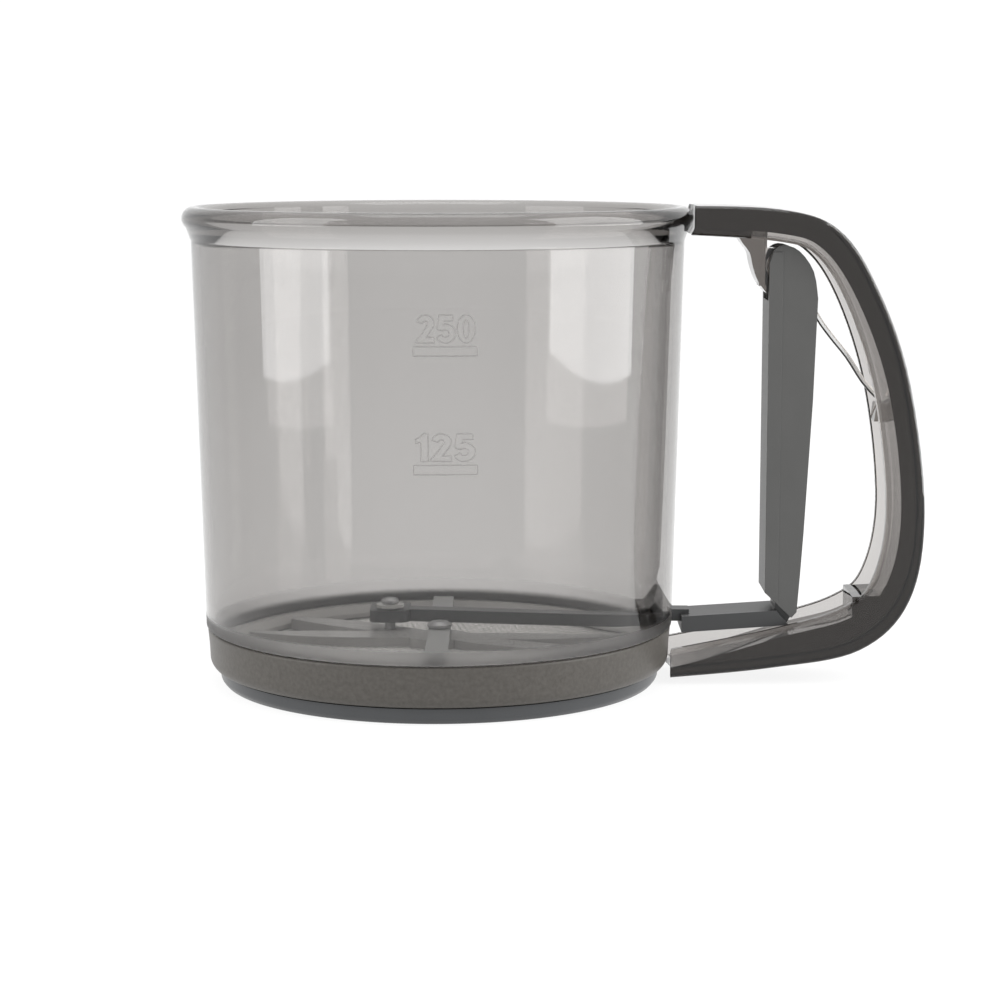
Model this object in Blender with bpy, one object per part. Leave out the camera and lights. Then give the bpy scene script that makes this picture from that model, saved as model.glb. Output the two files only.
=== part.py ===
"""Squeeze-handle flour sifter: a clear cup with a mesh floor, stirred by a lever in the handle.

Squeezing the lever pulls a rod through a slot in the cup, and the rod turns a four-blade
agitator over the mesh. A torsion spring pushes the lever back.

Lengths are in millimetres and become metres where a mesh is made. Outlines are written
from the cup's own axis: x towards the handle, z up from the table.
"""

import math

import bmesh
import bpy
from mathutils import Matrix, Vector

MM = 0.001
GAP = 0.3                      # left between pieces that rest on each other
ROUND = 96                     # sides of the cup's round parts
SMALL = 20                     # sides of pins, holes and bosses

# Cup
RIM_R = 53.2
CUP_HEIGHT = 100.0
BEAD_R = 2.4                   # minor radius of the rolled rim
WALL = 2.0
WALL_TOP_R = 51.3              # outside of the wall under the rim
WALL_TOP_Z = 92.5
WALL_LOW_R = 49.35             # outside of the wall where it sits on the base
PARTING_Z = 12.4
SPIGOT_R = 47.5                # the lip that registers the cup in the base
SPIGOT_LOW = 10.2
LEDGE_R = 45.6
SLOT_HALF = 6.0                # half width of the rod's slot
SLOT_LOW = 11.9
SLOT_TOP = 16.0

# Base
SKIRT_TOP_R = 49.1
SKIRT_LOW_R = 48.6
SKIRT_LOW_Z = 3.6
SHELF_TOP = 7.4                # the mesh lies on this shelf
SHELF_R = 40.5
FOOT_TOP_R = 46.6
FOOT_LOW_R = 45.4
FOOT_IN_R = 43.0
MESH_LOW = 7.7
MESH_TOP = 8.1
MESH_R = 47.0
SKIRT_STEP_R = 45.2            # the foot ring fits inside the skirt up to here
HOOP_R = 42.0                  # opening of the hoop that clamps the mesh
HOOP_TOP = 10.9

# Bridge and agitator
STRAP_W = 4.6
STRAP_T = 1.0
STRAP_TOP = 12.2
STRAP_END = 41.5
RIVET_Z = 9.6
RIVET_R = 0.6
RIVET_HEAD_R = 1.2
BLADE_R = 41.0
BLADE_LOW = 8.6
BLADE_TOP = 10.7
BLADE_W = 4.4                  # at the tips
BLADE_SWELL = 1.9              # added to each side in the middle of a blade
HUB_R = 7.0
AXLE_R = 1.4
DRIVE_X = -10.9
DRIVE_Y = 8.8
DRIVE_R = 1.1
BLADE_ANGLES = (-4.5, 144.0)   # each bar carries two opposite blades

# Pull rod
ROD_LOW = 12.4
ROD_TOP = 14.9
ROD_W = 4.6
TONGUE_W = 11.8                # of the flat part outside the cup
TONGUE_T = 3.4
TONGUE_START = 51.2
TONGUE_SLOPE = 0.065
EYE_W = 9.2
EYE_R = 2.2

# Handle and lever
HANDLE_W = 18.0
HANDLE_WALL = 2.1
HANDLE_STEPS = 8               # points on the curve from one outline point to the next
HANDLE_OUTSIDE = ((47.0, 100.2), (70.0, 99.5), (82.7, 95.2), (91.2, 82.5), (97.9, 63.8),
                  (101.6, 37.0), (98.9, 17.9), (88.6, 7.2), (69.8, 3.4), (47.0, 1.2))
HANDLE_INSIDE = ((47.0, 94.4), (70.0, 92.9), (78.6, 89.4), (85.6, 77.5), (91.0, 59.5),
                 (93.5, 37.0), (91.0, 22.5), (85.0, 16.4), (70.5, 11.8), (47.0, 7.0))
# how much of the handle's depth is its solid outer web, at each of those points
WEB_SHARES = (0.75, 0.75, 0.72, 0.66, 0.60, 0.60, 0.64, 0.72, 0.72, 0.30)
HOOK_HALF = 4.6                # half width of the hook in front of the lever
CHANNEL_START = 62.0           # the top bar is solid between here and the cup
PIVOT = (71.5, 87.5)
PIVOT_R = 1.25
TONGUE_LUG_R = 3.9
LINK = (73.2, 18.0)
LINK_R = 1.0
LEVER_W = 13.0
LEVER_SIDE_STEP = 0.3          # the back half of each cheek is this much thinner
LEVER_WALL = 1.4
LEVER_FRONT = 68.6
LEVER_BACK = ((78.5, 72.5), (78.1, 60.0), (77.3, 45.0), (76.6, 32.0), (76.0, 23.0), (75.4, 15.0))
LEVER_TIP = (74.3, 13.8)
LEVER_CUT_Z = 19.2
STOP_X = 86.9

# Return spring
WIRE_R = 0.6
COIL_R = 2.3
COIL_TURNS = 2
COIL_FROM = 195.0              # degrees round the pivot where the lever leg meets the coil
COIL_TO = 37.3
COIL_SIDE = (0.95, 4.1)        # the coil's first and last turn, across the handle
LEG_LENGTH = 7.6
ARM = ((79.5, 77.3), (82.8, 72.6), (86.4, 68.2), (89.9, 62.9), (93.2, 59.3))


def smooth_path(points, steps=5):
    """Points along a smooth curve that passes through every given point."""
    ends = [points[0], *points, points[-1]]
    path = []
    for before, a, b, after in zip(ends, ends[1:], ends[2:], ends[3:]):
        for step in range(steps):
            t = step / steps
            weights = ((2 - t) * t * t - t, (3 * t - 5) * t * t + 2,
                       ((4 - 3 * t) * t + 1) * t, (t - 1) * t * t)
            path.append(tuple(sum(w * p[i] for w, p in zip(weights, (before, a, b, after))) / 2
                              for i in range(len(a))))
    path.append(tuple(points[-1]))
    return path


def arc(centre, radius, start, end, steps):
    """Points on an arc, from the start angle to the end angle in degrees."""
    angles = [math.radians(start + (end - start) * i / steps) for i in range(steps + 1)]
    return [(centre[0] + radius * math.cos(a), centre[1] + radius * math.sin(a)) for a in angles]


def between(path_a, path_b, shares):
    """The path that lies, at each point, its share of the way from path_a to path_b."""
    return [tuple(Vector(a).lerp(Vector(b), share)) for a, b, share in zip(path_a, path_b, shares)]


HANDLE_PATH = smooth_path(HANDLE_OUTSIDE, HANDLE_STEPS)
HANDLE_INNER_PATH = smooth_path(HANDLE_INSIDE, HANDLE_STEPS)
HANDLE_REACH = max(x for x, z in HANDLE_PATH)
CUP_X = -(HANDLE_REACH - RIM_R) / 2     # the origin is under the middle of the whole object


def clear_scene():
    for old in list(bpy.data.objects):
        bpy.data.objects.remove(old, do_unlink=True)


def material(name, colour, roughness, metallic=0.0, alpha=1.0):
    made = bpy.data.materials.new(name)
    made.use_nodes = True
    shader = made.node_tree.nodes["Principled BSDF"]
    shader.inputs["Base Color"].default_value = (*colour, 1.0)
    shader.inputs["Roughness"].default_value = roughness
    shader.inputs["Metallic"].default_value = metallic
    shader.inputs["Alpha"].default_value = alpha
    made.diffuse_color = (*colour, alpha)
    return made


def axis_empty(name, x, z):
    """An empty on a joint's axis, given from the cup's axis. Its pieces have their origin there."""
    empty = bpy.data.objects.new(name, None)
    empty.location = ((CUP_X + x) * MM, 0.0, z * MM)
    empty.empty_display_size = 0.01
    bpy.context.collection.objects.link(empty)
    empty["offset"] = (x, z)
    return empty


def turned(profile, sides=ROUND, centre=(0.0, 0.0)):
    """A body of revolution from a closed profile of (radius, z)."""
    bm = bmesh.new()
    corners = [bm.verts.new((r, 0.0, z)) for r, z in profile]
    edges = [bm.edges.new(pair) for pair in zip(corners, corners[1:] + corners[:1])]
    bmesh.ops.spin(bm, geom=corners + edges, axis=(0, 0, 1), cent=(0, 0, 0),
                   angle=math.tau, steps=sides, use_merge=True)
    bmesh.ops.remove_doubles(bm, verts=bm.verts, dist=0.001)
    bmesh.ops.translate(bm, verts=bm.verts, vec=(centre[0], centre[1], 0.0))
    bmesh.ops.recalc_face_normals(bm, faces=bm.faces)
    return bm


def extruded(outline, low, high, along="Y"):
    """A plate: an outline in XZ thickened along Y, or an outline in XY thickened along Z."""
    bm = bmesh.new()
    if along == "Y":
        corners = [bm.verts.new((x, low, z)) for x, z in outline]
        way = Vector((0.0, high - low, 0.0))
    else:
        corners = [bm.verts.new((x, y, low)) for x, y in outline]
        way = Vector((0.0, 0.0, high - low))
    face = bm.faces.new(corners)
    grown = bmesh.ops.extrude_face_region(bm, geom=[face])
    moved = [v for v in grown["geom"] if isinstance(v, bmesh.types.BMVert)]
    bmesh.ops.translate(bm, verts=moved, vec=way)
    bmesh.ops.recalc_face_normals(bm, faces=bm.faces)
    return bm


def box(low, high):
    outline = ((low[0], low[2]), (high[0], low[2]), (high[0], high[2]), (low[0], high[2]))
    return extruded(outline, low[1], high[1])


def rod_shape(centre, radius, low, high, along="Y", sides=SMALL):
    """A round bar on an axis along Y or Z."""
    return extruded(arc(centre, radius, 0, 360 * (sides - 1) / sides, sides - 1), low, high, along)


def tube(path, radius, sides=8):
    """A wire: rings round a path, with flat caps, turned as little as possible on the way."""
    bm = bmesh.new()
    points = [Vector(p) for p in path]
    rings = []
    across = Vector((0, 1, 0))
    for i, point in enumerate(points):
        ahead = (points[min(i + 1, len(points) - 1)] - points[max(i - 1, 0)]).normalized()
        across = (across - ahead * across.dot(ahead)).normalized()
        side = ahead.cross(across)
        angles = [math.tau * k / sides for k in range(sides)]
        ring = [point + (across * math.cos(a) + side * math.sin(a)) * radius for a in angles]
        rings.append([bm.verts.new(p) for p in ring])
    for near, far in zip(rings, rings[1:]):
        for k in range(sides):
            bm.faces.new((near[k], near[k - 1], far[k - 1], far[k]))
    bm.faces.new(rings[0])
    bm.faces.new(rings[-1])
    bmesh.ops.recalc_face_normals(bm, faces=bm.faces)
    return bm


def place(name, bm, holder, finish=None, smooth_angle=35.0):
    """Turn a body built from the cup's axis into an object whose origin is its holder's."""
    x, z = holder["offset"]
    bmesh.ops.translate(bm, verts=bm.verts, vec=(-x, 0.0, -z))
    bmesh.ops.transform(bm, matrix=Matrix.Scale(MM, 4), verts=bm.verts)
    mesh = bpy.data.meshes.new(name)
    bm.to_mesh(mesh)
    bm.free()
    made = bpy.data.objects.new(name, mesh)
    made.parent = holder
    bpy.context.collection.objects.link(made)
    if finish:
        mesh.materials.append(finish)
        mesh.shade_smooth()
        mesh.set_sharp_from_angle(angle=math.radians(smooth_angle))
    else:
        made.hide_render = True
        made.display_type = "WIRE"
    return made


def combine(target, tool_name, bm, operation="DIFFERENCE"):
    """Cut a body out of a piece, or join one to it."""
    tool = place(tool_name, bm, target.parent)
    step = target.modifiers.new(tool_name, "BOOLEAN")
    step.operation = operation
    step.object = tool
    step.solver = "EXACT"
    return tool


def round_edges(target, width, segments=2, angle=40.0):
    step = target.modifiers.new("rounded", "BEVEL")
    step.width = width * MM
    step.segments = segments
    step.limit_method = "ANGLE"
    step.angle_limit = math.radians(angle)


def wall_radius(z):
    """Outside radius of the cup's tapered wall at a height."""
    share = (z - PARTING_Z) / (WALL_TOP_Z - PARTING_Z)
    return WALL_LOW_R + (WALL_TOP_R - WALL_LOW_R) * share


def make_cup(cup):
    clear = material("clear_smoke_plastic", (0.62, 0.60, 0.58), 0.12, alpha=0.35)
    bead_z = CUP_HEIGHT - BEAD_R
    bead = arc((RIM_R - BEAD_R, bead_z), BEAD_R, 160, -60, 11)
    inside_top = (wall_radius(WALL_TOP_Z) - WALL, WALL_TOP_Z)
    fillet = [(wall_radius(15.3) - WALL, 15.3), (46.95, 13.4), (46.0, 12.1), (LEDGE_R, 11.4)]
    profile = [*bead, (WALL_TOP_R + 0.25, 94.0), (WALL_TOP_R, WALL_TOP_Z),
               (wall_radius(52.0), 52.0), (WALL_LOW_R, PARTING_Z),
               (SPIGOT_R, PARTING_Z), (SPIGOT_R, SPIGOT_LOW), (LEDGE_R, SPIGOT_LOW),
               *reversed(fillet), (wall_radius(52.0) - WALL, 52.0), inside_top]
    shell = place("cup_shell", turned(profile), cup, clear)
    slot = box((44.0, -SLOT_HALF, SLOT_LOW), (52.0, SLOT_HALF, SLOT_TOP))
    combine(shell, "rod_slot", slot)


def make_base(cup):
    frosted = material("frosted_smoke_plastic", (0.30, 0.29, 0.28), 0.5, alpha=0.85)
    glossy = material("glossy_grey_plastic", (0.22, 0.23, 0.24), 0.25)
    steel = material("fine_steel_mesh", (0.35, 0.35, 0.35), 0.4, 1.0)
    dark = material("grey_plastic", (0.20, 0.20, 0.19), 0.45)

    skirt_in = SPIGOT_R + GAP
    step_r = SKIRT_STEP_R
    skirt = [(SKIRT_TOP_R, PARTING_Z - GAP), (SKIRT_LOW_R, 5.0), (SKIRT_LOW_R - 1.0, SKIRT_LOW_Z),
             (step_r, SKIRT_LOW_Z), (step_r, SHELF_TOP - 1.2), (SHELF_R, SHELF_TOP - 1.2),
             (SHELF_R, SHELF_TOP), (skirt_in, SHELF_TOP), (skirt_in, PARTING_Z - GAP)]
    place("base_skirt", turned(skirt), cup, frosted)

    foot_top = SKIRT_LOW_Z - GAP
    foot = [(FOOT_TOP_R, foot_top), (FOOT_TOP_R - 0.2, 1.2), (FOOT_LOW_R, 0.0), (FOOT_IN_R, 0.0),
            (FOOT_IN_R - 0.5, 0.6), (FOOT_IN_R - 0.5, 5.8), (step_r - GAP, 5.8),
            (step_r - GAP, foot_top)]
    place("foot_ring", turned(foot), cup, glossy)

    place("mesh_screen", rod_shape((0, 0), MESH_R, MESH_LOW, MESH_TOP, "Z", ROUND), cup, steel)

    hoop_low = MESH_TOP + GAP
    hoop_seat = SPIGOT_LOW - GAP
    lip_r = LEDGE_R - GAP
    hoop = [(SPIGOT_R - 0.1, hoop_seat), (SPIGOT_R - 0.1, hoop_low), (HOOP_R, hoop_low),
            (HOOP_R, hoop_low + 0.9), (HOOP_R + 1.2, HOOP_TOP), (lip_r, HOOP_TOP),
            (lip_r, hoop_seat)]
    ring = place("mesh_hoop", turned(hoop), cup, dark)
    for side, way in (("front", -1), ("back", 1)):
        hole = rod_shape((0.0, RIVET_Z), RIVET_R + GAP, *sorted((way * 41.0, way * 44.2)))
        combine(ring, "rivet_hole_" + side, hole)


def make_bridge(cup):
    light = material("light_grey_plastic", (0.42, 0.42, 0.41), 0.45)
    steel = material("plain_steel", (0.60, 0.60, 0.60), 0.3, 1.0)
    leg_in = STRAP_END - 1.1
    under = STRAP_TOP - STRAP_T
    foot = MESH_TOP + GAP
    outline = [(-STRAP_END, foot), (-leg_in, foot), (-leg_in, under), (leg_in, under),
               (leg_in, foot), (STRAP_END, foot), (STRAP_END, STRAP_TOP), (-STRAP_END, STRAP_TOP)]
    strap = extruded(outline, -STRAP_W / 2, STRAP_W / 2)
    quarter_turn = Matrix.Rotation(math.pi / 2, 4, "Z")
    bmesh.ops.transform(strap, matrix=quarter_turn, verts=strap.verts)
    bridge = place("bridge", strap, cup, light)
    combine(bridge, "axle_hole", rod_shape((0, 0), AXLE_R + GAP, 10.0, 14.0, "Z"))
    for side, way in (("front", -1), ("back", 1)):
        reach = sorted((way * (leg_in - 1.0), way * (STRAP_END + 1.0)))
        combine(bridge, "leg_hole_" + side, rod_shape((0.0, RIVET_Z), RIVET_R + GAP, *reach))

        head = sorted((way * (leg_in - GAP - 0.9), way * (leg_in - GAP)))
        shank = sorted((way * (leg_in - GAP - 0.5), way * 43.8))
        rivet = place("bridge_rivet_" + side,
                      rod_shape((0.0, RIVET_Z), RIVET_HEAD_R, *head, sides=14), cup, steel)
        combine(rivet, "rivet_shank_" + side,
                rod_shape((0.0, RIVET_Z), RIVET_R, *shank, sides=14), "UNION")

    head_low = STRAP_TOP + GAP
    pin = [(0.0, 8.4), (AXLE_R, 8.4), (AXLE_R, head_low), (2.6, head_low), (2.6, head_low + 0.5),
           (1.7, head_low + 1.1), (0.0, head_low + 1.2)]
    place("agitator_axle", turned(pin, SMALL), cup, steel)
    clip = [(AXLE_R + GAP, 8.4), (3.1, 8.4), (3.1, 9.0), (AXLE_R + GAP, 9.0)]
    place("axle_clip", turned(clip, SMALL), cup, steel)


def leaf_outline(angle):
    """Two opposite blades: narrow at the hub and the tips, swollen in the middle, round ends."""
    tip = BLADE_W / 2
    side = []
    for i in range(13):
        along = -(BLADE_R - tip) + 2 * (BLADE_R - tip) * i / 12
        swell = math.sin(math.pi * min(1.0, abs(along) / (BLADE_R - tip)))
        side.append((along, -tip - BLADE_SWELL * swell))
    right = arc((BLADE_R - tip, 0), tip, -90, 90, 6)[1:]
    half = side + right
    outline = half + [(-x, -y) for x, y in half][:-1]
    outline = outline[:-1] if outline[0] == outline[-1] else outline
    turn = Matrix.Rotation(math.radians(angle), 2)
    return [tuple(turn @ Vector(p)) for p in clean_outline(outline)]


def clean_outline(points):
    """The outline without points that repeat the one before."""
    kept = []
    for point in points:
        if not kept or (Vector(point) - Vector(kept[-1])).length > 0.01:
            kept.append(point)
    if (Vector(kept[0]) - Vector(kept[-1])).length < 0.01:
        kept.pop()
    return kept


def make_agitator(agitator_axis):
    grey = material("agitator_grey_plastic", (0.19, 0.19, 0.185), 0.45)
    pale = material("pale_washer_plastic", (0.55, 0.55, 0.53), 0.4)
    steel = bpy.data.materials["plain_steel"]

    outline = leaf_outline(BLADE_ANGLES[0])
    blades = place("agitator", extruded(outline, BLADE_LOW, BLADE_TOP, "Z"), agitator_axis, grey)
    outline = leaf_outline(BLADE_ANGLES[1])
    combine(blades, "second_blades", extruded(outline, BLADE_LOW, BLADE_TOP, "Z"), "UNION")
    hub = rod_shape((0, 0), HUB_R, BLADE_LOW, BLADE_TOP, "Z", 32)
    combine(blades, "hub", hub, "UNION")
    round_edges(blades, 0.8, 3, 60.0)
    combine(blades, "hub_bore", rod_shape((0, 0), AXLE_R + GAP, 7.0, 12.0, "Z"))
    combine(blades, "clip_recess", rod_shape((0, 0), 3.5, 7.0, 9.3, "Z"))
    drive = (DRIVE_X, DRIVE_Y)
    combine(blades, "drive_hole", rod_shape(drive, DRIVE_R + GAP, 9.1, 12.0, "Z"))

    washer_low = ROD_TOP + GAP
    head_low = washer_low + 0.6 + GAP
    pin = [(0.0, 9.4), (DRIVE_R, 9.4), (DRIVE_R, head_low), (1.9, head_low),
           (1.9, head_low + 0.5), (1.2, head_low + 0.9), (0.0, head_low + 1.0)]
    place("drive_pin", turned(pin, SMALL, drive), agitator_axis, steel)
    washer = [(DRIVE_R + GAP, washer_low), (3.0, washer_low), (3.0, washer_low + 0.6),
              (DRIVE_R + GAP, washer_low + 0.6)]
    place("drive_washer", turned(washer, SMALL, drive), agitator_axis, pale)


def make_slot_guide(cup):
    """The tunnel that keeps flour off the rod's slot, with a sloping hood over it."""
    dark = bpy.data.materials["grey_plastic"]
    half = 7.2
    start = 42.0
    roof = 17.0
    body = box((start, -half, HOOP_TOP + GAP), (49.0, half, roof))
    guide = place("slot_guide", body, cup, dark)
    hood = extruded(((43.5, 16.6), (49.0, 16.6), (49.0, 22.6)), -half, half)
    combine(guide, "hood", hood, "UNION")
    bore = box((start - 1.0, -SLOT_HALF, 9.0), (50.0, SLOT_HALF, roof - 1.2))
    combine(guide, "tunnel", bore)
    inside = [(0.0, 9.0), (LEDGE_R - 0.4, 9.0), (LEDGE_R - 0.4, 11.4), (45.6, 12.1),
              (46.5, 13.4), (47.05, 15.3), (47.2, 25.0), (0.0, 25.0)]
    combine(guide, "bowl_inside", turned(inside), "INTERSECT")


def make_handle(cup):
    dark = material("dark_smoke_plastic", (0.045, 0.035, 0.028), 0.15, alpha=0.92)
    half = HANDLE_W / 2
    outline = HANDLE_PATH + list(reversed(HANDLE_INNER_PATH))
    handle = place("handle", extruded(outline, -half, half), cup, dark)
    round_edges(handle, 1.0, 3)

    shares = [share for share, in smooth_path([(share,) for share in WEB_SHARES], HANDLE_STEPS)]
    web = between(HANDLE_PATH, HANDLE_INNER_PATH, shares)
    past = between(HANDLE_PATH, HANDLE_INNER_PATH, [1.5] * len(shares))
    first = next(i for i, (x, z) in enumerate(web) if x > CHANNEL_START)
    hollow = web[first:] + list(reversed(past[first:]))
    inner = half - HANDLE_WALL
    combine(handle, "channel", extruded(hollow, -inner, inner))

    front = smooth_path(((61.5, 96.6), (62.6, 93.2), (64.6, 90.4), (65.3, 87.6), (66.4, 84.6),
                         (68.2, 82.1)), 4)
    hook = front + [(68.2, 96.6)]
    combine(handle, "hook", extruded(hook, -HOOK_HALF, HOOK_HALF), "UNION")
    lug = arc(PIVOT, TONGUE_LUG_R, -90, 90, 12) + [(66.6, PIVOT[1] + TONGUE_LUG_R),
                                                  (66.6, PIVOT[1] - TONGUE_LUG_R)]
    combine(handle, "pivot_lug", extruded(lug, -4.7, -0.3), "UNION")
    stop = ((STOP_X, 11.0), (91.0, 11.5), (94.6, 16.0), (94.6, 18.9), (STOP_X, 18.5))
    combine(handle, "lever_stop", extruded(stop, -inner - 0.6, inner + 0.6), "UNION")
    anchor = ((92.0, 54.6), (96.8, 54.6), (96.8, 58.4), (92.4, 58.4))
    combine(handle, "spring_anchor", extruded(anchor, 1.2, inner + 0.6), "UNION")

    bore = rod_shape(PIVOT, PIVOT_R + GAP, -6.4, 1.0)
    combine(handle, "pivot_bore", bore)
    room = 0.4
    beside_cup = [(0.0, -2.0), (SKIRT_TOP_R + room, -2.0), (SKIRT_TOP_R + room, PARTING_Z),
                  (wall_radius(20.0) + room, 20.0), (WALL_TOP_R + room, WALL_TOP_Z - 0.6),
                  (RIM_R + room, 95.6), (RIM_R + room, 103.0), (0.0, 103.0)]
    combine(handle, "cup_clearance", turned(beside_cup))


def make_lever(lever_axis, cup):
    grey = material("lever_grey_plastic", (0.13, 0.13, 0.125), 0.5)
    steel = bpy.data.materials["plain_steel"]
    half = LEVER_W / 2
    top = smooth_path(((LEVER_FRONT, 88.3), (69.4, 90.8), (71.6, 92.0), (74.8, 90.8),
                       (77.8, 86.6), (78.8, 81.0)), 3)
    outline = [(LEVER_FRONT, LEVER_CUT_Z), *top, *LEVER_BACK, LEVER_TIP]
    cheeks = half - LEVER_SIDE_STEP
    lever = place("lever", extruded(outline, -cheeks, cheeks), lever_axis, grey)
    front = [(LEVER_FRONT, LEVER_CUT_Z), (LEVER_FRONT, 88.3), (69.4, 90.6), (71.4, 90.6),
             (71.4, 16.7)]
    combine(lever, "front_step", extruded(front, -half, half), "UNION")
    round_edges(lever, 0.35, 2, 45.0)

    inner = half - LEVER_WALL
    hollow = box((LEVER_FRONT + LEVER_WALL, -inner, 10.0), (84.0, inner, 96.0))
    combine(lever, "lever_channel", hollow)
    mouth = box((LEVER_FRONT - 2.0, -inner, 80.5), (LEVER_FRONT + 3.0, inner, 96.0))
    combine(lever, "hook_mouth", mouth)
    for name, point, radius in (("pivot_seat", PIVOT, PIVOT_R), ("link_seat", LINK, LINK_R)):
        combine(lever, name, rod_shape(point, radius + GAP, -inner - 0.7, inner + 0.7))

    reach = inner + 0.4
    place("lever_pivot_pin", rod_shape(PIVOT, PIVOT_R, -reach, reach), cup, steel)
    place("link_pin", rod_shape(LINK, LINK_R, -reach, reach), lever_axis, steel)


def make_spring(lever_axis):
    """A torsion coil round the pivot pin, a short leg on the lever and a long arm to the handle."""
    wire = material("spring_wire", (0.75, 0.75, 0.74), 0.15, 1.0)
    sweep = COIL_FROM - COIL_TO + 360 * COIL_TURNS
    steps = round(sweep / 24)
    first, last = COIL_SIDE
    start = math.radians(COIL_FROM)
    leg_way = Vector((-math.sin(start), 0, math.cos(start)))
    leg_top = Vector((PIVOT[0] + COIL_R * math.cos(start), first,
                      PIVOT[1] + COIL_R * math.sin(start)))
    path = [leg_top + leg_way * LEG_LENGTH * (1 - i / 3) for i in range(3)]
    for i in range(steps + 1):
        angle = math.radians(COIL_FROM - sweep * i / steps)
        path.append(Vector((PIVOT[0] + COIL_R * math.cos(angle), first + (last - first) * i / steps,
                            PIVOT[1] + COIL_R * math.sin(angle))))
    arm = smooth_path(((path[-1].x, path[-1].z), *ARM), 3)[1:]
    path += [Vector((x, last, z)) for x, z in arm]
    place("return_spring", tube(path, WIRE_R), lever_axis, wire, 60.0)


def make_rod(rod_axis):
    grey = material("rod_grey_plastic", (0.15, 0.15, 0.145), 0.45)

    def tongue_top(x):
        return ROD_TOP - 0.9 + (x - TONGUE_START) * TONGUE_SLOPE

    end = 71.2
    flat = [(TONGUE_START, tongue_top(TONGUE_START) - TONGUE_T),
            (TONGUE_START, tongue_top(TONGUE_START)), (end, tongue_top(end)),
            (end + 2.6, tongue_top(end) - TONGUE_T + 0.3)]
    rod = place("pull_rod", extruded(flat, -TONGUE_W / 2, TONGUE_W / 2), rod_axis, grey)

    eye = [(68.5, 12.3), (68.5, 14.6), (71.0, 15.4), (71.05, 17.6), *arc(LINK, EYE_R, 170, -10, 10),
           (75.0, 15.0), (73.4, 12.4)]
    combine(rod, "link_eye", extruded(eye, -EYE_W / 2, EYE_W / 2), "UNION")
    bar = [(53.0, -ROD_W / 2), (53.0, ROD_W / 2), (46.0, ROD_W / 2 + 0.2), (-8.0, 12.1),
           (-8.0, 7.5), (46.0, -ROD_W / 2 + 0.2)]
    combine(rod, "inner_bar", extruded(bar, ROD_LOW, ROD_TOP, "Z"), "UNION")
    yoke = rounded_box(DRIVE_X - 4.3, DRIVE_X + 4.3, 5.2, 17.2, 2.0)
    combine(rod, "yoke", extruded(yoke, ROD_LOW + 0.02, ROD_TOP - 0.02, "Z"), "UNION")
    round_edges(rod, 0.3, 1, 50.0)
    slot = rounded_box(DRIVE_X - 1.9, DRIVE_X + 1.9, 7.0, 15.3, 1.85)
    combine(rod, "yoke_slot", extruded(slot, 11.0, 17.0, "Z"))
    combine(rod, "link_bore", rod_shape(LINK, LINK_R + GAP, -8.0, 8.0))


def rounded_box(x0, x1, y0, y1, radius):
    """A rectangle with round corners, anticlockwise."""
    corners = ((x1, y1, 0), (x0, y1, 90), (x0, y0, 180), (x1, y0, 270))
    outline = []
    for x, y, start in corners:
        centre = (x + (radius if x == x0 else -radius), y + (radius if y == y0 else -radius))
        outline += arc(centre, radius, start, start + 90, 5)
    return outline


def main():
    clear_scene()
    cup = axis_empty("cup_axis", 0.0, 0.0)
    agitator_axis = axis_empty("agitator_axis", 0.0, 0.0)
    lever_axis = axis_empty("lever_axis", *PIVOT)
    rod_axis = axis_empty("rod_axis", *LINK)
    make_cup(cup)
    make_base(cup)
    make_bridge(cup)
    make_agitator(agitator_axis)
    make_slot_guide(cup)
    make_handle(cup)
    make_lever(lever_axis, cup)
    make_spring(lever_axis)
    make_rod(rod_axis)


main()
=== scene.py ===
"""Looks of the squeeze-handle flour sifter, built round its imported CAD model.

The clear cup, the handle and the slot guide are tinted plastics that absorb light by
thickness. The cup, skirt and foot ring are turned again with more sides and softer edges,
the plain CAD mesh disc is replaced by woven wires, and the measuring marks are added as
raised outlines on the cup's wall.
"""

import math

import bmesh
import bpy
from mathutils import Matrix, Vector


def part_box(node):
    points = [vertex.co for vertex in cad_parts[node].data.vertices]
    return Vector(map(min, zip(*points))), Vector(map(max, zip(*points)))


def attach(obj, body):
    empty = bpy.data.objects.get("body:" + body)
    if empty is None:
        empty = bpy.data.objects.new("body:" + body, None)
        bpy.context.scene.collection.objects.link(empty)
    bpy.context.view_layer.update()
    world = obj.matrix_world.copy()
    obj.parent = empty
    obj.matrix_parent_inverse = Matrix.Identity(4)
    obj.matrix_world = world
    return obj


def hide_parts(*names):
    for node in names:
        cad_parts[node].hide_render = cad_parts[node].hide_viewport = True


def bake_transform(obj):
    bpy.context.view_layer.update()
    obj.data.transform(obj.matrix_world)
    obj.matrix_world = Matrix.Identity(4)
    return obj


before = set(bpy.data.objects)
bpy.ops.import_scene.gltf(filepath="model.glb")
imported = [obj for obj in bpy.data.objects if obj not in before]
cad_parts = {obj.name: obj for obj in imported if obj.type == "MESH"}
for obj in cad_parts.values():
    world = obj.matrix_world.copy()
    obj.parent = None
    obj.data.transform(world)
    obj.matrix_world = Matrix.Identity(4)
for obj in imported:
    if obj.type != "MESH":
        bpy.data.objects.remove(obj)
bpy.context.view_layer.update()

MM = 0.001

cup_low, cup_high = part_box("cup_shell")
CUP_AXIS_X = (cup_low[0] + cup_high[0]) / 2
CUP_TOP = cup_high[2]


def new_material(name):
    made = bpy.data.materials.new(name)
    made.use_nodes = True
    return made, made.node_tree, made.node_tree.nodes["Principled BSDF"]


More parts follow.
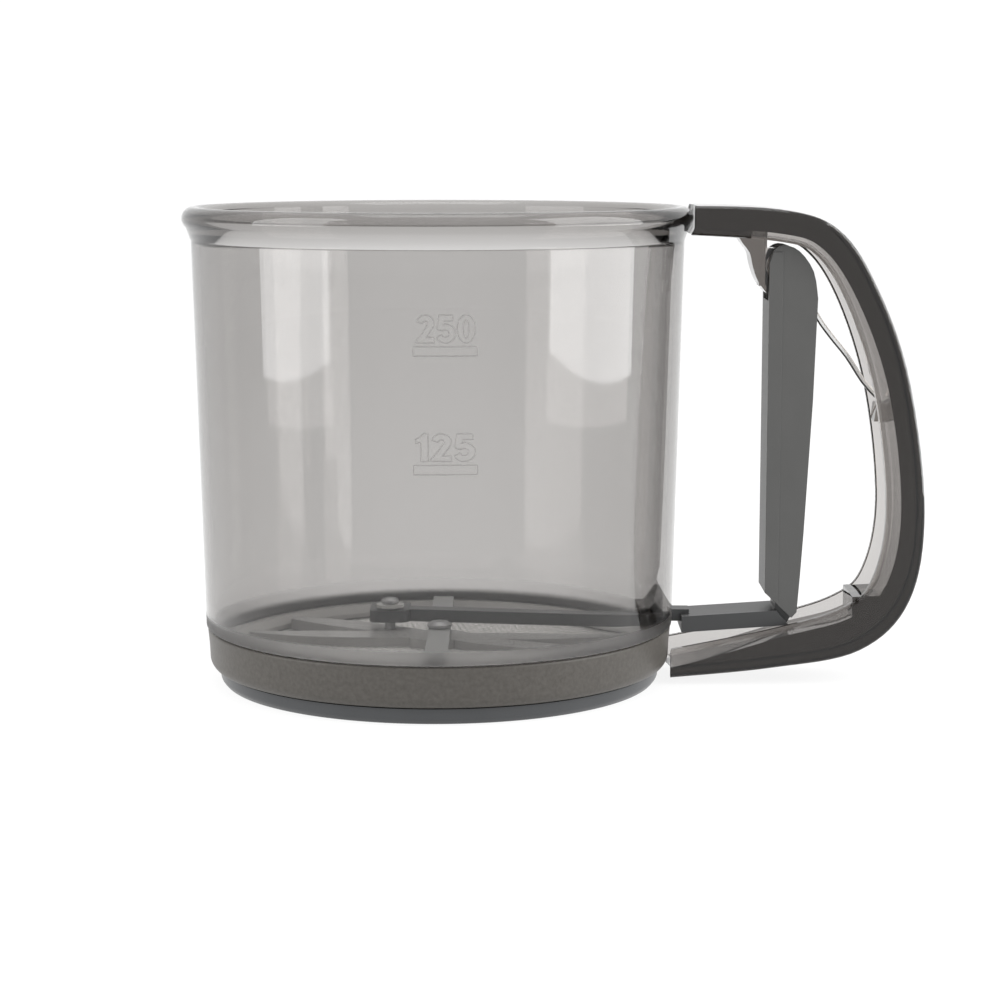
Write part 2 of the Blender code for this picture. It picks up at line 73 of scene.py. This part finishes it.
def surface_detail(tree, shader, grain, rough, rough_spread, bump, stretch=(1, 1, 1)):
    """Fine moulding texture: roughness that varies a little, and a shallow bump if any."""
    nodes, links = tree.nodes, tree.links
    place = nodes.new("ShaderNodeTexCoord")
    mapping = nodes.new("ShaderNodeMapping")
    mapping.inputs["Scale"].default_value = stretch
    links.new(place.outputs["Object"], mapping.inputs["Vector"])
    fine = nodes.new("ShaderNodeTexNoise")
    fine.inputs["Scale"].default_value = 1.0 / (grain * MM)
    fine.inputs["Detail"].default_value = 3.0
    links.new(mapping.outputs["Vector"], fine.inputs["Vector"])
    spread = nodes.new("ShaderNodeMapRange")
    spread.inputs["To Min"].default_value = rough - rough_spread
    spread.inputs["To Max"].default_value = rough + rough_spread
    links.new(fine.outputs["Fac"], spread.inputs["Value"])
    links.new(spread.outputs["Result"], shader.inputs["Roughness"])
    if bump:
        relief = nodes.new("ShaderNodeBump")
        relief.inputs["Strength"].default_value = 1.0
        relief.inputs["Distance"].default_value = bump * MM
        links.new(fine.outputs["Fac"], relief.inputs["Height"])
        links.new(relief.outputs["Normal"], shader.inputs["Normal"])
    return mapping


def colour_drift(tree, shader, mapping, colour, other, size):
    """Slow colour variation between two close tones."""
    nodes, links = tree.nodes, tree.links
    cloud = nodes.new("ShaderNodeTexNoise")
    cloud.inputs["Scale"].default_value = 1.0 / (size * MM)
    cloud.inputs["Detail"].default_value = 4.0
    links.new(mapping.outputs["Vector"], cloud.inputs["Vector"])
    blend = nodes.new("ShaderNodeMix")
    blend.data_type = "RGBA"
    blend.inputs["A"].default_value = (*colour, 1)
    blend.inputs["B"].default_value = (*other, 1)
    links.new(cloud.outputs["Fac"], blend.inputs["Factor"])
    links.new(blend.outputs["Result"], shader.inputs["Base Color"])


def tinted_plastic(name, absorb_colour, density, rough, grain, bump, shine=0.5):
    """See-through plastic whose tint comes from how much of it light passes."""
    made, tree, shader = new_material(name)
    shader.inputs["Base Color"].default_value = (1, 1, 1, 1)
    shader.inputs["Transmission Weight"].default_value = 1.0
    shader.inputs["IOR"].default_value = 1.49
    shader.inputs["Specular IOR Level"].default_value = shine
    surface_detail(tree, shader, grain, rough, rough * 0.3, bump)
    absorb = tree.nodes.new("ShaderNodeVolumeAbsorption")
    absorb.inputs["Color"].default_value = (*absorb_colour, 1)
    absorb.inputs["Density"].default_value = density
    tree.links.new(absorb.outputs["Volume"], tree.nodes["Material Output"].inputs["Volume"])
    return made


def frost_below(made, clear_z, frost_z, rough):
    """Make a clear plastic rough below a height, with a soft border."""
    tree = made.node_tree
    nodes, links = tree.nodes, tree.links
    shader = nodes["Principled BSDF"]
    polished = shader.inputs["Roughness"].links[0].from_socket
    place = nodes.new("ShaderNodeTexCoord")
    parts = nodes.new("ShaderNodeSeparateXYZ")
    links.new(place.outputs["Object"], parts.inputs["Vector"])
    share = nodes.new("ShaderNodeMapRange")
    share.inputs["From Min"].default_value = frost_z
    share.inputs["From Max"].default_value = clear_z
    share.inputs["To Min"].default_value = 1.0
    share.inputs["To Max"].default_value = 0.0
    links.new(parts.outputs["Z"], share.inputs["Value"])
    blend = nodes.new("ShaderNodeMix")
    links.new(share.outputs["Result"], blend.inputs["Factor"])
    links.new(polished, blend.inputs["A"])
    blend.inputs["B"].default_value = rough
    links.new(blend.outputs["Result"], shader.inputs["Roughness"])


def frosted_plastic(name, colour, other):
    """Cloudy plastic with a visible fine grain from a spark-eroded mould."""
    made, tree, shader = new_material(name)
    mapping = surface_detail(tree, shader, 0.4, 0.38, 0.08, 0.02)
    colour_drift(tree, shader, mapping, colour, other, 0.8)
    shader.inputs["Specular IOR Level"].default_value = 0.2
    return made


def moulded_plastic(name, colour, other, rough, grain=0.25, bump=0.012, shine=0.45):
    made, tree, shader = new_material(name)
    mapping = surface_detail(tree, shader, grain, rough, 0.06, bump)
    colour_drift(tree, shader, mapping, colour, other, 9.0)
    shader.inputs["Specular IOR Level"].default_value = shine
    return made


def steel(name, colour, rough, stretch=(1, 1, 1), bump=0.004):
    made, tree, shader = new_material(name)
    shader.inputs["Metallic"].default_value = 1.0
    mapping = surface_detail(tree, shader, 0.2, rough, 0.05, bump, stretch)
    colour_drift(tree, shader, mapping, colour, tuple(c * 0.85 for c in colour), 3.0)
    return made


clear = tinted_plastic("clear smoke plastic", (0.50, 0.482, 0.468), 425, 0.03, 6.0, 0)
frost_below(clear, 15.6 * MM, 14.4 * MM, 0.5)
frosted = frosted_plastic("frosted smoke plastic", (0.050, 0.046, 0.041), (0.095, 0.089, 0.081))
dark_smoke = tinted_plastic("dark smoke plastic", (0.38, 0.345, 0.318), 370, 0.05, 8.0, 0, 0.32)
guide_smoke = tinted_plastic("guide smoke plastic", (0.50, 0.45, 0.42), 700, 0.25, 0.4, 0.004)
marks_matt = moulded_plastic("matt marks plastic", (0.27, 0.262, 0.255), (0.24, 0.233, 0.226), 0.6, 0.4, 0)
foot_grey = moulded_plastic("foot grey plastic", (0.055, 0.057, 0.059), (0.068, 0.070, 0.073), 0.3,
                            shine=0.2)
hoop_grey = moulded_plastic("hoop grey plastic", (0.42, 0.41, 0.395), (0.36, 0.35, 0.338), 0.35)
bridge_grey = moulded_plastic("bridge grey plastic", (0.31, 0.315, 0.31), (0.27, 0.275, 0.27), 0.4)
lever_grey = moulded_plastic("lever grey plastic", (0.078, 0.078, 0.076), (0.066, 0.066, 0.064), 0.42)
rod_grey = moulded_plastic("rod grey plastic", (0.040, 0.041, 0.042), (0.034, 0.035, 0.036), 0.4)
blade_grey = moulded_plastic("blade grey plastic", (0.36, 0.355, 0.345), (0.30, 0.296, 0.288), 0.28)
washer_pale = moulded_plastic("pale washer plastic", (0.5, 0.5, 0.48), (0.44, 0.44, 0.42), 0.35)
pin_steel = steel("turned steel", (0.36, 0.36, 0.36), 0.45)
wire_steel = steel("bright spring wire", (0.78, 0.78, 0.77), 0.16, (1, 1, 0.2))
mesh_steel = steel("woven mesh steel", (0.74, 0.73, 0.71), 0.25)

FINISHES = {
    "cup_shell": clear, "base_skirt": frosted, "foot_ring": foot_grey, "mesh_hoop": hoop_grey,
    "bridge": bridge_grey, "bridge_rivet_front": pin_steel, "bridge_rivet_back": pin_steel,
    "agitator_axle": pin_steel, "axle_clip": pin_steel, "agitator": blade_grey,
    "drive_pin": pin_steel, "drive_washer": washer_pale, "slot_guide": guide_smoke,
    "handle": dark_smoke, "lever": lever_grey, "lever_pivot_pin": pin_steel,
    "link_pin": pin_steel, "return_spring": wire_steel, "pull_rod": rod_grey,
    "mesh_screen": mesh_steel,
}


def give_finishes():
    for node, finish in FINISHES.items():
        piece = bpy.data.objects[node]
        if not piece.material_slots:
            piece.data.materials.append(None)
        for place in piece.material_slots:
            place.material = finish


def mesh_piece(name, bm, finish, body, smooth=True):
    mesh = bpy.data.meshes.new(name)
    bm.to_mesh(mesh)
    bm.free()
    if smooth:
        mesh.shade_smooth()
    mesh.materials.append(finish)
    made = bpy.data.objects.new(name, mesh)
    bpy.context.collection.objects.link(made)
    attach(made, body)
    return made


# --- turned shells ----------------------------------------------------------------------

AROUND = 224                   # sides of the fine round pieces

# Cup, in millimetres: (radius, z) from its own axis
BEAD_R = 2.4                   # minor radius of the rolled rim
COVE_R = 1.6                   # hollow curve between the rim and the wall
WALL = 2.0
PARTING_Z = 12.4               # the wall's lower end, on the base
WALL_MIDDLE_Z = 52.0
WALL_TOP_Z = 92.5
SPIGOT_R = 47.5                # the lip that registers the cup in the base
SPIGOT_LOW = 10.2
LEDGE_R = 45.6
FLOOR_CURVE = (1.75, 3.9)      # width and height of the curve from the wall down to the ledge
FLOOR_CURVE_TOP = 15.3
STRAIGHT_FROM_Z = 17.0         # the inside of the wall is straight above this
SLOT_LOW = (44.0, -6.0, 11.9)  # corners of the box that cuts the rod's slot
SLOT_HIGH = (52.0, 6.0, 16.0)

# Base, in millimetres; a third value marks a corner to be softened
SKIRT = [(49.1, 12.1, 1), (48.75, 8.5), (48.6, 5.0, 1), (47.6, 3.6, 1), (45.2, 3.6), (45.2, 6.2),
         (40.5, 6.2), (40.5, 7.4), (47.8, 7.4), (47.8, 12.1)]
FOOT = [(46.6, 3.3), (46.4, 1.2, 1), (45.4, 0.0, 1), (43.0, 0.0, 1), (42.5, 0.6), (42.5, 5.8),
        (44.9, 5.8), (44.9, 3.3)]


def read_wall():
    """Two points (radius, z) on the outside of the wall, from the CAD cup."""
    shell = bpy.data.objects["cup_shell"]
    rings = {}
    for v in shell.data.vertices:
        r = math.hypot(v.co.x - CUP_AXIS_X, v.co.y)
        z = round(v.co.z, 5)
        rings[z] = max(rings.get(z, 0.0), r)
    low = min(rings, key=lambda z: abs(z - PARTING_Z * MM))
    high = min(rings, key=lambda z: abs(z - WALL_TOP_Z * MM))
    return (rings[low], low), (rings[high], high)


WALL_LOW, WALL_HIGH = read_wall()


def wall_radius(z):
    """Outside of the cup's tapered wall at a height, in metres."""
    return WALL_LOW[0] + (WALL_HIGH[0] - WALL_LOW[0]) * (z - WALL_LOW[1]) / (WALL_HIGH[1] - WALL_LOW[1])


def arc(centre, radius, start, end, steps):
    angles = [math.radians(start + (end - start) * i / steps) for i in range(steps + 1)]
    return [(centre[0] + radius * math.cos(a), centre[1] + radius * math.sin(a)) for a in angles]


def softened(profile, radius, steps=3):
    """The closed profile with each marked corner replaced by a small round."""
    made = []
    count = len(profile)
    for i, point in enumerate(profile):
        here = Vector(point[:2])
        if len(point) < 3:
            made.append(tuple(here))
            continue
        before = Vector(profile[i - 1][:2])
        after = Vector(profile[(i + 1) % count][:2])
        cut = min(radius, (before - here).length / 2.2, (after - here).length / 2.2)
        a = here + (before - here).normalized() * cut
        b = here + (after - here).normalized() * cut
        for k in range(steps + 1):
            t = k / steps
            made.append(tuple(a * (1 - t) ** 2 + here * 2 * t * (1 - t) + b * t * t))
    return made


def turned(profile):
    """A body of revolution about the cup's axis, from (radius, z) in millimetres."""
    bm = bmesh.new()
    corners = [bm.verts.new((r * MM, 0.0, z * MM)) for r, z in profile]
    edges = [bm.edges.new(pair) for pair in zip(corners, corners[1:] + corners[:1])]
    bmesh.ops.spin(bm, geom=corners + edges, axis=(0, 0, 1), cent=(0, 0, 0), angle=math.tau,
                   steps=AROUND, use_merge=True)
    bmesh.ops.remove_doubles(bm, verts=bm.verts, dist=1e-6)
    bmesh.ops.translate(bm, verts=bm.verts, vec=(CUP_AXIS_X, 0, 0))
    bmesh.ops.recalc_face_normals(bm, faces=bm.faces)
    return bm


def cut_slot(made):
    """Cut the slot that the rod passes through, out of the cup's wall."""
    low = Vector(SLOT_LOW) * MM
    high = Vector(SLOT_HIGH) * MM
    bm = bmesh.new()
    bmesh.ops.create_cube(bm, size=1.0)
    for v in bm.verts:
        v.co = Vector(a * b for a, b in zip(v.co, high - low)) + (low + high) / 2
        v.co.x += CUP_AXIS_X
    mesh = bpy.data.meshes.new("slot_cutter")
    bm.to_mesh(mesh)
    bm.free()
    cutter = bpy.data.objects.new("slot_cutter", mesh)
    bpy.context.collection.objects.link(cutter)
    cut = made.modifiers.new("slot", "BOOLEAN")
    cut.object = cutter
    cut.operation = "DIFFERENCE"
    apply_modifiers(made)
    bpy.data.objects.remove(cutter)


def fine_cup():
    """The clear cup: rolled rim, cove under it, tapered wall and thick foot of the wall."""
    rim_r = (cup_high[0] - cup_low[0]) / 2 / MM
    top = CUP_TOP / MM
    wall_low = (WALL_LOW[0] / MM, WALL_LOW[1] / MM)
    wall_high = (WALL_HIGH[0] / MM, WALL_HIGH[1] / MM)

    def outside_r(z):
        return wall_radius(z * MM) / MM

    outside = [*arc((rim_r - BEAD_R, top - BEAD_R), BEAD_R, 150, -48, 16),
               *arc((wall_high[0] + COVE_R, wall_high[1] + 0.2), COVE_R, 150, 180, 4),
               (outside_r(WALL_MIDDLE_Z), WALL_MIDDLE_Z), (*wall_low, 1)]
    lip = [(SPIGOT_R, wall_low[1]), (SPIGOT_R, SPIGOT_LOW, 1), (LEDGE_R, SPIGOT_LOW, 1)]
    width, height = FLOOR_CURVE
    curve = [(LEDGE_R + width * math.sin(a), FLOOR_CURVE_TOP - height * math.cos(a))
             for a in (math.pi / 2 * step / 5 for step in range(6))]
    inside = [(outside_r(z) - WALL, z) for z in (STRAIGHT_FROM_Z, WALL_MIDDLE_Z, WALL_TOP_Z)]
    profile = softened([*outside, *lip, *curve, *inside], 0.3)
    made = mesh_piece("clear_cup", turned(profile), clear, "cup")
    cut_slot(made)
    made.data.set_sharp_from_angle(angle=math.radians(40))
    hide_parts("cup_shell")


def fine_base():
    """The frosted skirt with its rounded upper edge, and the foot ring under it."""
    for name, profile, radius, finish, node, place in (
            ("fine_skirt", SKIRT, 0.9, frosted, "base_skirt", "frosted_plastic"),
            ("fine_foot", FOOT, 0.5, foot_grey, "foot_ring", "foot_plastic")):
        made = mesh_piece(name, turned(softened(profile, radius, 4)), finish, "cup")
        made.data.set_sharp_from_angle(angle=math.radians(40))
        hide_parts(node)


def apply_modifiers(made):
    depsgraph = bpy.context.evaluated_depsgraph_get()
    mesh = bpy.data.meshes.new_from_object(made.evaluated_get(depsgraph))
    made.modifiers.clear()
    made.data = mesh


# --- woven mesh -------------------------------------------------------------------------

WIRE_PITCH = 1.25 * MM
MESH_WIRE_R = 0.19 * MM
WEAVE_TURN = math.radians(8)


def woven_mesh():
    """Two sets of wires that pass over and under each other, inside a round outline."""
    low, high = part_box("mesh_screen")
    middle = Vector((CUP_AXIS_X, 0, (low[2] + high[2]) / 2))
    radius = (high[0] - low[0]) / 2
    count = int(radius / WIRE_PITCH)
    bm = bmesh.new()
    turn = Matrix.Rotation(WEAVE_TURN, 3, "Z")
    sides = [(math.cos(a), math.sin(a)) for a in (math.pi / 4 + k * math.pi / 2 for k in range(4))]
    for direction in (0, 1):
        for row in range(-count, count + 1):
            offset = row * WIRE_PITCH
            reach = int(math.sqrt(radius * radius - offset * offset) / WIRE_PITCH)
            if reach < 1:
                continue
            rings = []
            for step in range(-reach, reach + 1):
                lift = MESH_WIRE_R * (1 if (row + step + direction) % 2 else -1)
                ring = []
                for a, b in sides:
                    along = step * WIRE_PITCH
                    across = offset + a * MESH_WIRE_R
                    spot = (along, across) if direction == 0 else (across, along)
                    ring.append(bm.verts.new(middle + turn @ Vector((*spot, lift + b * MESH_WIRE_R))))
                rings.append(ring)
            for near, far in zip(rings, rings[1:]):
                for k in range(4):
                    bm.faces.new((near[k], near[k - 1], far[k - 1], far[k]))
            bm.faces.new(rings[0])
            bm.faces.new(reversed(rings[-1]))
    bmesh.ops.recalc_face_normals(bm, faces=bm.faces)
    made = mesh_piece("woven_mesh", bm, mesh_steel, "cup")
    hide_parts("mesh_screen")


# --- measuring marks --------------------------------------------------------------------

MARK_X = 2.5 * MM              # middle of the marks, from the cup's axis
MARK_WIDTH = 12.3 * MM
DIGIT_HEIGHT = 5.35 * MM
BAR_HALF = 0.9 * MM
LINE_R = 0.11 * MM
MARKS = (("250", 75.4 * MM, 73.8 * MM), ("125", 52.65 * MM, 51.0 * MM))   # digits' base, bar's middle


def wrap(point):
    """A flat point (x, z, out) laid on the front of the cup's wall."""
    x, z, out = point
    r = wall_radius(z) + out
    angle = (MARK_X + x) / wall_radius(z)
    return Vector((CUP_AXIS_X + r * math.sin(angle), -r * math.cos(angle), z))


STROKE = 0.21                  # width of a digit's strokes, as a share of its height


def stroke_outline(line):
    """The closed outline of a broad stroke along a line, with square ends."""
    half = STROKE / 2
    left, right = [], []
    for i, point in enumerate(line):
        here = Vector(point)
        before = (here - Vector(line[i - 1])).normalized() if i else None
        after = (Vector(line[i + 1]) - here).normalized() if i + 1 < len(line) else None
        way = ((before or after) + (after or before)).normalized()
        side = Vector((-way.y, way.x))
        corner = max(0.5, side.dot(Vector((-(after or before).y, (after or before).x))))
        left.append(tuple(here + side * half / corner))
        right.append(tuple(here - side * half / corner))
    return left + right[::-1]


def digit_lines(digit):
    """Middle line of a digit 1 high, and its width."""
    half = STROKE / 2
    if digit == "0":
        outer = [(0.31 + 0.31 * math.cos(a), 0.5 + 0.5 * math.sin(a))
                 for a in (math.tau * k / 40 for k in range(40))]
        inner = [(0.31 + (0.31 - STROKE) * math.cos(a), 0.5 + (0.5 - STROKE * 0.8) * math.sin(a))
                 for a in (math.tau * k / 32 for k in range(32))]
        return [outer, inner], 0.62
    if digit == "1":
        return [[(0.16, 0.0), (0.38, 0.0), (0.38, 1.0), (0.22, 1.0), (0.15, 0.88), (0.0, 0.80),
                 (0.0, 0.64), (0.16, 0.70)]], 0.38
    if digit == "2":
        bowl = arc((0.3, 0.70), 0.3 - half, 172, -28, 14)
        return [stroke_outline([*bowl, (0.28, 0.30), (0.13, half), (0.60, half)])], 0.60
    top = [(0.55, 1.0 - half), (0.16, 1.0 - half), (0.12, 0.56)]
    bowl = arc((0.29, 0.34), 0.34 - half, 118, -158, 16)
    return [stroke_outline([*top, *bowl])], 0.60


def digit_outlines(text):
    """Closed outlines of bold digits side by side."""
    loops = []
    pen = 0.0
    for digit in text:
        lines, width = digit_lines(digit)
        loops += [[(pen + x, y) for x, y in line] for line in lines]
        pen += width + 0.10
    return loops


def fitted(loops, width, height, base):
    """The outlines scaled to a width and height, centred, standing on base."""
    xs = [x for loop in loops for x, y in loop]
    ys = [y for loop in loops for x, y in loop]
    fx = width / (max(xs) - min(xs))
    fy = height / (max(ys) - min(ys))
    middle = (max(xs) + min(xs)) / 2
    return [[((x - middle) * fx, base + (y - min(ys)) * fy) for x, y in loop] for loop in loops]


def raised_line(bm, loop):
    """A thin half-round line along a closed loop on the wall."""
    fine = []
    for a, b in zip(loop, [*loop[1:], loop[0]]):
        steps = max(1, round(math.dist(a, b) / (0.5 * MM)))
        fine += [tuple(Vector(a).lerp(Vector(b), i / steps)) for i in range(steps)]
    points = [fine[0]]
    for p in fine[1:]:
        if math.dist(p, points[-1]) > 0.12 * MM:
            points.append(p)
    if math.dist(points[0], points[-1]) < 0.12 * MM:
        points.pop()
    profile = ((-LINE_R, 0.02 * MM), (-LINE_R * 0.6, 0.11 * MM), (LINE_R * 0.6, 0.11 * MM),
               (LINE_R, 0.02 * MM))
    rings = []
    for before, here, after in zip([points[-1], *points[:-1]], points, [*points[1:], points[0]]):
        way = (Vector(after) - Vector(before)).normalized()
        side = Vector((-way.y, way.x))
        rings.append([bm.verts.new(wrap((here[0] + side.x * s, here[1] + side.y * s, out)))
                      for s, out in profile])
    for near, far in zip(rings, [*rings[1:], rings[0]]):
        for k in range(4):
            bm.faces.new((near[k], near[k - 1], far[k - 1], far[k]))


def measuring_marks():
    for text, base, bar in MARKS:
        bm = bmesh.new()
        for loop in fitted(digit_outlines(text), MARK_WIDTH * 0.94, DIGIT_HEIGHT, base):
            raised_line(bm, loop)
        half_w = MARK_WIDTH / 2
        raised_line(bm, [(-half_w, bar - BAR_HALF), (half_w, bar - BAR_HALF),
                         (half_w, bar + BAR_HALF), (-half_w, bar + BAR_HALF)])
        bmesh.ops.recalc_face_normals(bm, faces=bm.faces)
        made = mesh_piece("mark_" + text, bm, marks_matt, "cup")


# --- spring -----------------------------------------------------------------------------

def bending_spring():
    """A copy of the CAD spring's wire, which runs from the lever to the handle along its coil, with the
    bright wire finish.
    """
    cad = bpy.data.objects["return_spring"]
    made = bpy.data.objects.new("spring_wire", cad.data.copy())
    made.data.materials.clear()
    made.data.materials.append(wire_steel)
    bpy.context.collection.objects.link(made)
    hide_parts("return_spring")
    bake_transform(made)


# --- stage, lights and camera -----------------------------------------------------------

def stage():
    bm = bmesh.new()
    bmesh.ops.create_grid(bm, x_segments=1, y_segments=1, size=6.0)
    mesh = bpy.data.meshes.new("floor")
    bm.to_mesh(mesh)
    bm.free()
    made, tree, shader = new_material("pale floor")
    shader.inputs["Base Color"].default_value = (0.16, 0.16, 0.16, 1)
    shader.inputs["Roughness"].default_value = 0.9
    shader.inputs["Specular IOR Level"].default_value = 0.0
    shader.inputs["Emission Color"].default_value = (1, 1, 1, 1)
    shader.inputs["Emission Strength"].default_value = 0.86
    mesh.materials.append(made)
    floor = bpy.data.objects.new("floor", mesh)
    bpy.context.collection.objects.link(floor)


SOFTBOX_REACH = 0.5            # from the cup's axis
SOFTBOX_MIDDLE_Z = 0.36        # they stand on the floor
# name, degrees round the cup from the front (left is negative), width, power
SOFTBOXES = (("left softbox", -65.5, 0.33, 2.6), ("right softbox", 75.0, 0.44, 4.2))


def area_light(name, place, target, width, height, power):
    data = bpy.data.lights.new(name, "AREA")
    data.shape = "RECTANGLE"
    data.size = width
    data.size_y = height
    data.energy = power
    lamp = bpy.data.objects.new(name, data)
    lamp.location = place
    lamp.rotation_euler = (Vector(target) - Vector(place)).to_track_quat("-Z", "Y").to_euler()
    bpy.context.collection.objects.link(lamp)


def lights():
    world = bpy.data.worlds.new("studio")
    world.use_nodes = True
    sky = world.node_tree.nodes["Background"]
    sky.inputs["Color"].default_value = (1, 1, 1, 1)
    sky.inputs["Strength"].default_value = 1.03
    bpy.context.scene.world = world
    for name, degrees, width, power in SOFTBOXES:
        angle = math.radians(degrees)
        place = (CUP_AXIS_X + SOFTBOX_REACH * math.sin(angle), -SOFTBOX_REACH * math.cos(angle),
                 SOFTBOX_MIDDLE_Z)
        target = (CUP_AXIS_X, 0, SOFTBOX_MIDDLE_Z)
        area_light(name, place, target, width, 2 * SOFTBOX_MIDDLE_Z, power)
    area_light("top softbox", (0.0, 0.1, 1.2), (0, 0, 0.05), 0.7, 0.5, 2.0)


CAMERA_ASIDE = 13.0 * MM       # right of the cup's axis
CAMERA_BACK = 530.7 * MM
CAMERA_Z = 114.1 * MM
CAMERA_DOWN = 8.17             # degrees


def camera():
    data = bpy.data.cameras.new("camera")
    data.sensor_width = 36.0
    data.lens = 91.0
    made = bpy.data.objects.new("camera", data)
    made.location = (CUP_AXIS_X + CAMERA_ASIDE, -CAMERA_BACK, CAMERA_Z)
    made.rotation_euler = (math.radians(90 - CAMERA_DOWN), 0, 0)
    bpy.context.collection.objects.link(made)
    bpy.context.scene.camera = made


give_finishes()
fine_cup()
fine_base()
woven_mesh()
measuring_marks()
bending_spring()
stage()
lights()
camera()
bpy.context.scene.view_settings.view_transform = "Standard"
